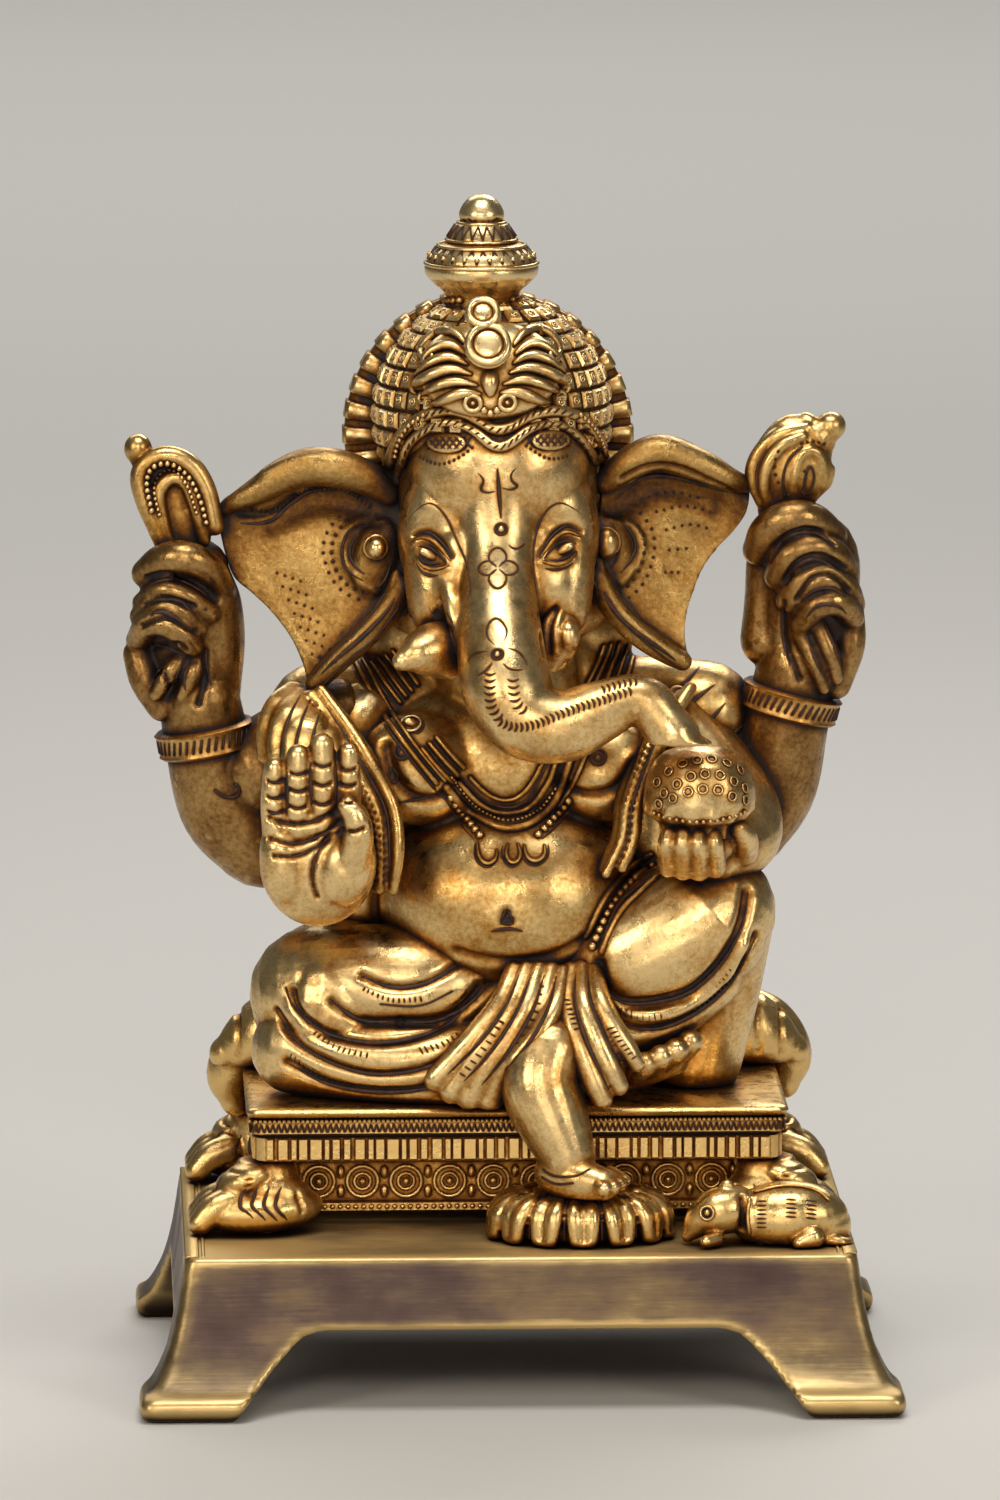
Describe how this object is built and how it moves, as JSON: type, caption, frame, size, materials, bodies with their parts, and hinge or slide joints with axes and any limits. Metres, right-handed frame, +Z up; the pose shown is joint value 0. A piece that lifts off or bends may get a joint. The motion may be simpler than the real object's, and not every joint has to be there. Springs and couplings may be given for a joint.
{
  "type": "seated elephant-headed deity idol",
  "caption": "Seated elephant-headed idol in cast brass, with raised palm, sweet, crown and sun wheel, on a moulded throne and a flared-foot stand.",
  "frame": {"origin": "on the ground, under the middle of the stand", "axes": "+X to the idol's left, -Y to its front, +Z up"},
  "size_m": [0.146, 0.118, 0.227],
  "materials": {
    "figure_brass": "cast, chased by hand, waxed dark and buffed bright on the high parts",
    "throne_brass": "cast and chased, with the dark wax left in",
    "stand_brass": "cast and filed flat, tarnished grey",
    "screw_steel": "turned steel"
  },
  "bodies": {
    "root": {"throne_screw_front_right": "screw_steel", "throne_screw_front_left": "screw_steel", "throne_screw_back_right": "screw_steel", "throne_screw_back_left": "screw_steel", "lotus_screw": "screw_steel", "mouse_screw": "screw_steel", "throne_washer_front_right": "screw_steel", "throne_washer_front_left": "screw_steel", "throne_washer_back_right": "screw_steel", "throne_washer_back_left": "screw_steel", "base_stand": "stand_brass", "throne_paw_front_right": "throne_brass", "throne_paw_front_left": "throne_brass", "throne_paw_back_right": "throne_brass", "throne_paw_back_left": "throne_brass", "lotus_footrest": "throne_brass", "mouse": "throne_brass", "throne_seat": "throne_brass", "throne_apron": "throne_brass", "bolster": "throne_brass", "crown_jewel": "figure_brass", "necklace": "figure_brass", "shawl_right": "figure_brass", "shawl_left": "figure_brass", "ear_stud_right": "figure_brass", "ear_stud_left": "figure_brass", "bracelet_right": "figure_brass", "bracelet_left": "figure_brass", "head": "figure_brass", "torso": "figure_brass", "shin_hanging": "figure_brass", "dhoti_pleats": "figure_brass", "dhoti_drape": "figure_brass", "leg_folded": "figure_brass", "leg_raised": "figure_brass", "arm_front_left": "figure_brass", "arm_front_right": "figure_brass", "modak": "figure_brass", "arm_rear_right": "figure_brass", "arm_rear_left": "figure_brass", "noose": "figure_brass", "goad": "figure_brass", "tusk_right": "figure_brass", "tusk_left_stub": "figure_brass", "ear_right": "figure_brass", "ear_left": "figure_brass", "crown": "figure_brass", "halo_wheel": "figure_brass", "crown_finial": "figure_brass"}
  },
  "joints": []
}
